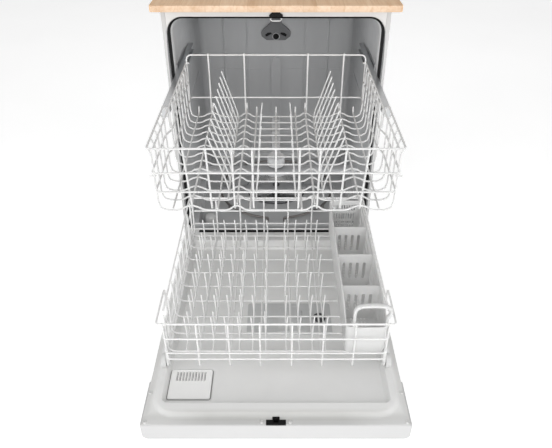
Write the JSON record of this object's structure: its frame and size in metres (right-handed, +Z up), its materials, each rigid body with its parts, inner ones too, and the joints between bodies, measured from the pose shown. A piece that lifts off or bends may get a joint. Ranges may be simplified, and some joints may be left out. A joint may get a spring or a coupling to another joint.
{
  "type": "portable dishwasher",
  "caption": "Free-standing dishwasher on casters with a wooden worktop, drop-down door, two sliding wire racks, spray arms and a cutlery basket.",
  "frame": {"origin": "on the floor under the middle of the outline, door open and racks out", "axes": "+Z up, +X to the right as seen from the front, the door opens towards -Y"},
  "size_m": [0.622, 1.347, 0.918],
  "materials": {
    "worktop_wood": "oiled maple strips, satin",
    "white_enamel": "smooth semi-gloss enamel",
    "white_plastic": "satin moulded",
    "tub_plastic": "fine moulded grain",
    "liner_plastic": "fine moulded grain",
    "arm_plastic": "moulded",
    "dark_plastic": "moulded",
    "light_plastic": "moulded",
    "basket_plastic": "moulded",
    "rubber": "soft, matt",
    "caster_rubber": "hard tread",
    "zinc_steel": "zinc plated",
    "iron": "rough cast",
    "rail_metal": "drawn, satin",
    "board": "solder mask",
    "rack_coating": "white vinyl dip coating on steel wire"
  },
  "bodies": {
    "root": {"worktop": "worktop_wood", "top_rails": "white_enamel", "side_panel_left": "white_enamel", "side_panel_right": "white_enamel", "rear_panel": "white_enamel", "service_panel": "dark_plastic", "base_frame": "zinc_steel", "toe_panel": "white_enamel", "counterweight": "iron", "tub": "tub_plastic", "tub_gasket": "rubber", "latch_strike": "dark_plastic", "sump": "dark_plastic", "coarse_filter": "zinc_steel", "wash_pump": "dark_plastic", "drain_pump": "dark_plastic", "heater_element": "zinc_steel", "inlet_valve": "dark_plastic", "feed_tube": "tub_plastic", "top_nozzle": "dark_plastic", "roller_brackets": "zinc_steel", "hinge_brackets": "zinc_steel", "door_springs": "zinc_steel"},
    "filter_cylinder": {"filter_cylinder": "light_plastic"},
    "float": {"float": "light_plastic"},
    "lower_spray_arm": {"lower_spray_arm": "arm_plastic"},
    "tub_rollers": {"tub_rollers": "light_plastic"},
    "door": {"door_liner": "liner_plastic", "door_panel": "white_enamel", "console": "white_plastic", "hinge_arms": "zinc_steel", "liner_screws": "zinc_steel", "latch_housing": "dark_plastic", "vent_cover": "liner_plastic", "dispenser": "liner_plastic", "door_seal": "rubber", "control_board": "board"},
    "latch_pawl": {"latch_pawl": "zinc_steel"},
    "dispenser_lid": {"dispenser_lid": "liner_plastic"},
    "rinse_cap": {"rinse_cap": "dark_plastic"},
    "start_button": {"start_button": "arm_plastic"},
    "cycle_button": {"cycle_button": "arm_plastic"},
    "lower_rack": {"lower_rack": "rack_coating"},
    "lower_wheels_front": {"lower_wheels_front": "light_plastic"},
    "lower_wheels_rear": {"lower_wheels_rear": "light_plastic"},
    "silverware_basket": {"silverware_basket": "basket_plastic"},
    "upper_rack": {"upper_rack": "rack_coating", "upper_feed_tube": "tub_plastic"},
    "upper_spray_arm": {"upper_spray_arm": "arm_plastic"},
    "rack_rollers_front": {"rack_rollers_front": "light_plastic"},
    "rack_rollers_rear": {"rack_rollers_rear": "light_plastic"},
    "upper_rails": {"upper_rails": "rail_metal"},
    "caster_fork_fl": {"caster_fork_fl": "zinc_steel"},
    "caster_wheel_fl": {"caster_wheel_fl": "caster_rubber"},
    "caster_fork_fr": {"caster_fork_fr": "zinc_steel"},
    "caster_wheel_fr": {"caster_wheel_fr": "caster_rubber"},
    "caster_fork_rl": {"caster_fork_rl": "zinc_steel"},
    "caster_wheel_rl": {"caster_wheel_rl": "caster_rubber"},
    "caster_fork_rr": {"caster_fork_rr": "zinc_steel"},
    "caster_wheel_rr": {"caster_wheel_rr": "caster_rubber"}
  },
  "joints": [
    {"name": "door_hinge", "type": "hinge", "parent": "root", "child": "door", "pos_m": [0, 0.0525, 0.162], "axis": [1, 0, 0], "range_deg": [-15, 0], "deforming": ["door_springs"]},
    {"name": "rack_lower_slide", "type": "slide", "parent": "door", "child": "lower_rack", "axis": [0, 1, 0], "range_m": [0, 0.655]},
    {"name": "rack_upper_slide", "type": "slide", "parent": "root", "child": "upper_rack", "axis": [0, 1, 0], "range_m": [0, 0.513]},
    {"name": "rail_upper_slide", "type": "slide", "parent": "root", "child": "upper_rails", "axis": [0, 1, 0], "range_m": [0, 0.257]},
    {"name": "basket_lift", "type": "slide", "parent": "lower_rack", "child": "silverware_basket", "axis": [0, 0, 1], "range_m": [0, 0.1]},
    {"name": "wheels_front_roll", "type": "hinge", "parent": "lower_rack", "child": "lower_wheels_front", "pos_m": [0, -0.5115, 0.2228], "axis": [1, 0, 0], "range_deg": [-2160, 0]},
    {"name": "wheels_rear_roll", "type": "hinge", "parent": "lower_rack", "child": "lower_wheels_rear", "pos_m": [0, -0.0875, 0.2228], "axis": [1, 0, 0], "range_deg": [-2160, 0]},
    {"name": "roller_tub_roll", "type": "hinge", "parent": "root", "child": "tub_rollers", "pos_m": [0, 0.1225, 0.711], "axis": [1, 0, 0], "range_deg": [-1690, 0]},
    {"name": "roller_front_roll", "type": "hinge", "parent": "upper_rack", "child": "rack_rollers_front", "pos_m": [0, -0.1425, 0.711], "axis": [1, 0, 0], "range_deg": [-1690, 0]},
    {"name": "roller_rear_roll", "type": "hinge", "parent": "upper_rack", "child": "rack_rollers_rear", "pos_m": [0, 0.0625, 0.711], "axis": [1, 0, 0], "range_deg": [-1690, 0]},
    {"name": "spray_arm_upper", "type": "hinge", "parent": "upper_rack", "child": "upper_spray_arm", "pos_m": [0, -0.1545, 0.548], "axis": [0, 0, 1], "continuous": true},
    {"name": "spray_arm_lower", "type": "hinge", "parent": "root", "child": "lower_spray_arm", "pos_m": [0, 0.3425, 0.191], "axis": [0, 0, 1], "continuous": true},
    {"name": "filter_twist", "type": "hinge", "parent": "root", "child": "filter_cylinder", "pos_m": [0, 0.4285, 0.15], "axis": [0, 0, 1], "range_deg": [0, 90]},
    {"name": "float_lift", "type": "slide", "parent": "root", "child": "float", "axis": [0, 0, 1], "range_m": [0, 0.012]},
    {"name": "dispenser_lid_slide", "type": "slide", "parent": "door", "child": "dispenser_lid", "axis": [-1, 0, 0], "range_m": [0, 0.07]},
    {"name": "rinse_cap_turn", "type": "hinge", "parent": "door", "child": "rinse_cap", "pos_m": [0.118, -0.3225, 0.178], "axis": [0, 0, 1], "range_deg": [0, 90]},
    {"name": "latch_pawl_turn", "type": "hinge", "parent": "door", "child": "latch_pawl", "pos_m": [0, -0.6585, 0.1875], "axis": [1, 0, 0], "range_deg": [0, 18], "stiffness_Nm_per_rad": 0.05, "springref_deg": -17.19},
    {"name": "start_button_press", "type": "slide", "parent": "door", "child": "start_button", "axis": [0, 0, 1], "range_m": [0, 0.002], "stiffness_N_per_m": 300, "springref_m": -0.002},
    {"name": "cycle_button_press", "type": "slide", "parent": "door", "child": "cycle_button", "axis": [0, 0, 1], "range_m": [0, 0.002], "stiffness_N_per_m": 300, "springref_m": -0.002},
    {"name": "swivel_fl", "type": "hinge", "parent": "root", "child": "caster_fork_fl", "pos_m": [-0.245, 0.1525, 0.057], "axis": [0, 0, 1], "continuous": true},
    {"name": "wheel_spin_fl", "type": "hinge", "parent": "caster_fork_fl", "child": "caster_wheel_fl", "pos_m": [-0.245, 0.1745, 0.025], "axis": [1, 0, 0], "continuous": true},
    {"name": "swivel_fr", "type": "hinge", "parent": "root", "child": "caster_fork_fr", "pos_m": [0.245, 0.1525, 0.057], "axis": [0, 0, 1], "continuous": true},
    {"name": "wheel_spin_fr", "type": "hinge", "parent": "caster_fork_fr", "child": "caster_wheel_fr", "pos_m": [0.245, 0.1745, 0.025], "axis": [1, 0, 0], "continuous": true},
    {"name": "swivel_rl", "type": "hinge", "parent": "root", "child": "caster_fork_rl", "pos_m": [-0.245, 0.5975, 0.057], "axis": [0, 0, 1], "continuous": true},
    {"name": "wheel_spin_rl", "type": "hinge", "parent": "caster_fork_rl", "child": "caster_wheel_rl", "pos_m": [-0.245, 0.6195, 0.025], "axis": [1, 0, 0], "continuous": true},
    {"name": "swivel_rr", "type": "hinge", "parent": "root", "child": "caster_fork_rr", "pos_m": [0.245, 0.5975, 0.057], "axis": [0, 0, 1], "continuous": true},
    {"name": "wheel_spin_rr", "type": "hinge", "parent": "caster_fork_rr", "child": "caster_wheel_rr", "pos_m": [0.245, 0.6195, 0.025], "axis": [1, 0, 0], "continuous": true}
  ],
  "couplings": [
    {"joint": "rail_upper_slide", "follows": "rack_upper_slide", "ratio": 0.5},
    {"joint": "roller_tub_roll", "follows": "rack_upper_slide", "rad_per_m": -56.82},
    {"joint": "roller_front_roll", "follows": "rack_upper_slide", "rad_per_m": -56.82},
    {"joint": "roller_rear_roll", "follows": "rack_upper_slide", "rad_per_m": -56.82},
    {"joint": "wheels_front_roll", "follows": "rack_lower_slide", "rad_per_m": -57.14},
    {"joint": "wheels_rear_roll", "follows": "rack_lower_slide", "rad_per_m": -57.14}
  ]
}
